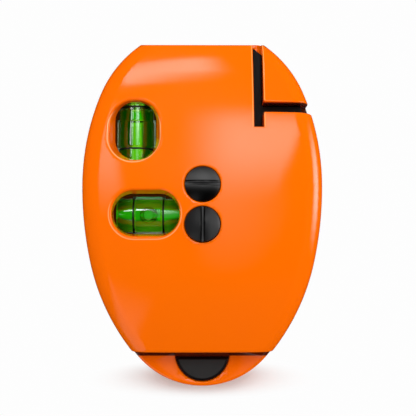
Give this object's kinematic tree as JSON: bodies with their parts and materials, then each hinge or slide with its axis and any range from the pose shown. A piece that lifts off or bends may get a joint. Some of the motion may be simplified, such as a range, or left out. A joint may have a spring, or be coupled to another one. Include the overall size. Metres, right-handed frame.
{
  "type": "laser level",
  "caption": "Palm-sized laser level with a domed case, spirit vials in windows, push buttons, a T-shaped beam slot and a half-moon battery catch.",
  "frame": {"origin": "on the flat back, under the middle of the case's length and width", "axes": "+Z out through the dome, +Y to the flat end that the upright beam slot opens through, +X to the side that the cross slot opens through"},
  "size_m": [0.0804, 0.1181, 0.0339],
  "materials": {
    "shell_plastic": "satin gloss, saturated orange",
    "black_plastic": "satin black",
    "button_plastic": "polished black",
    "switch_plastic": "matte",
    "board": "green lacquer",
    "bracket_plastic": "matte off-white",
    "vial_clear": "clear, polished",
    "vial_liquid": "clear yellow-green",
    "ring_black": "printed black",
    "barrel_brass": "turned",
    "lens_glass": "clear",
    "screw_steel": "zinc plated",
    "cell_jacket": "dark jacket without print",
    "contact_steel": "nickel plated",
    "red_cover": "soft insulation",
    "black_cover": "soft insulation"
  },
  "bodies": {
    "housing": {"upper_shell": "shell_plastic", "lower_shell": "shell_plastic", "beam_channel": "black_plastic", "catch_spring": "contact_steel", "horizontal_line_switch": "switch_plastic", "vertical_line_switch": "switch_plastic", "circuit_board": "board", "horizontal_vial_tube": "vial_clear", "horizontal_vial_fluid": "vial_liquid", "horizontal_vial_plug": "vial_clear", "horizontal_vial_rings": "ring_black", "vertical_vial_tube": "vial_clear", "vertical_vial_fluid": "vial_liquid", "vertical_vial_plug": "vial_clear", "vertical_vial_rings": "ring_black", "vial_bracket": "bracket_plastic", "horizontal_laser_barrel": "barrel_brass", "horizontal_laser_lens": "lens_glass", "vertical_laser_barrel": "barrel_brass", "vertical_laser_lens": "lens_glass", "laser_mount": "black_plastic", "case_screws": "screw_steel", "inner_screws": "screw_steel", "upper_battery": "cell_jacket", "lower_battery": "cell_jacket", "bridge_contact": "contact_steel", "positive_contact": "contact_steel", "negative_contact": "contact_steel", "positive_lead": "red_cover", "negative_lead": "black_cover", "horizontal_laser_lead": "red_cover", "vertical_laser_lead": "red_cover"},
    "horizontal_button": {"horizontal_line_button": "button_plastic", "horizontal_line_plunger": "switch_plastic"},
    "vertical_button": {"vertical_line_button": "button_plastic", "vertical_line_plunger": "switch_plastic"},
    "catch": {"release_catch": "black_plastic"},
    "door": {"battery_door": "shell_plastic"}
  },
  "joints": [
    {"name": "horizontal_button_press", "type": "slide", "parent": "housing", "child": "horizontal_button", "axis": [0, 0, -1], "range_m": [0, 0.001], "stiffness_N_per_m": 300, "springref_m": -0.002},
    {"name": "vertical_button_press", "type": "slide", "parent": "housing", "child": "vertical_button", "axis": [0, 0, -1], "range_m": [0, 0.001], "stiffness_N_per_m": 300, "springref_m": -0.002},
    {"name": "catch_slide", "type": "slide", "parent": "housing", "child": "catch", "axis": [0, 1, 0], "range_m": [0, 0.0016], "stiffness_N_per_m": 400, "springref_m": -0.001, "deforming": ["catch_spring"]},
    {"name": "battery_door_hinge", "type": "hinge", "parent": "housing", "child": "door", "pos_m": [0, -0.0051, 0.0026], "axis": [1, 0, 0], "range_deg": [0, 90]}
  ]
}
